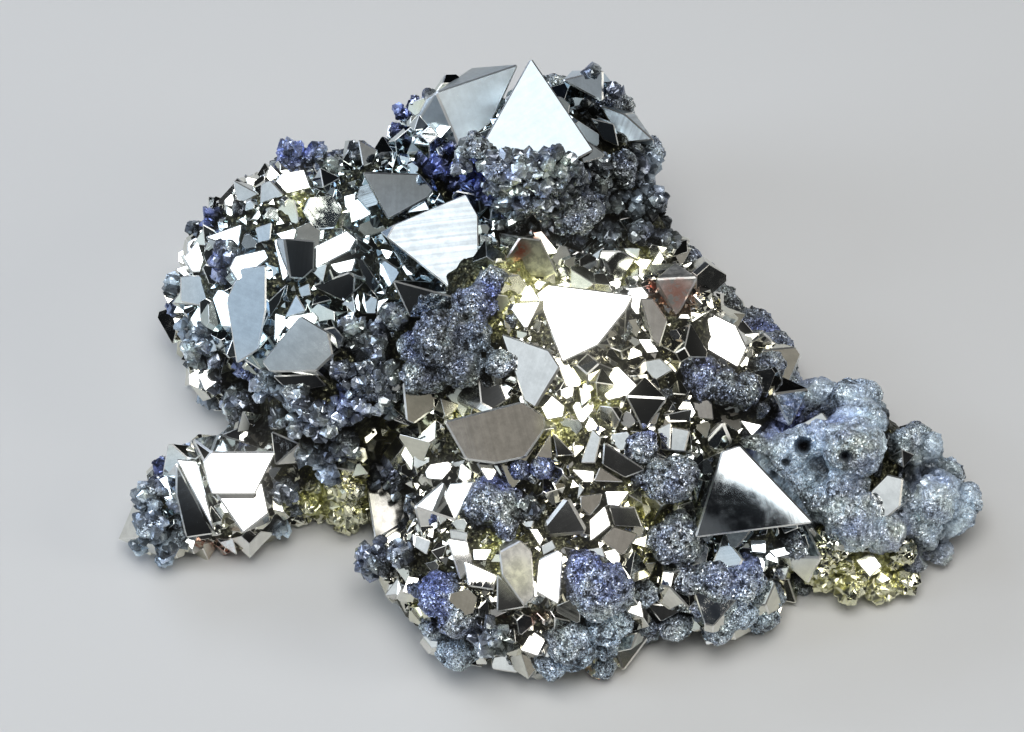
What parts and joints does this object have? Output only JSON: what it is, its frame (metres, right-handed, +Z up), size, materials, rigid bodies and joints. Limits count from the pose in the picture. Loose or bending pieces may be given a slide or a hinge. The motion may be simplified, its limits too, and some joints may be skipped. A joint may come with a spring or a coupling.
{
  "type": "pyrite specimen",
  "caption": "Natural cluster of octahedral pyrite crystals grown together with dark granular nodules, lying on a flat broken underside.",
  "frame": {"origin": "middle of the specimen's bounding box, on the surface it lies on", "axes": "+Z up, +X to the right and +Y away from the viewer as the picture shows it"},
  "size_m": [0.06, 0.0438, 0.0244],
  "materials": {
    "pyrite": "polished",
    "dark_mineral": "satin",
    "rock": "matte"
  },
  "bodies": {
    "root": {"pyrite_cluster": "pyrite"}
  },
  "joints": []
}
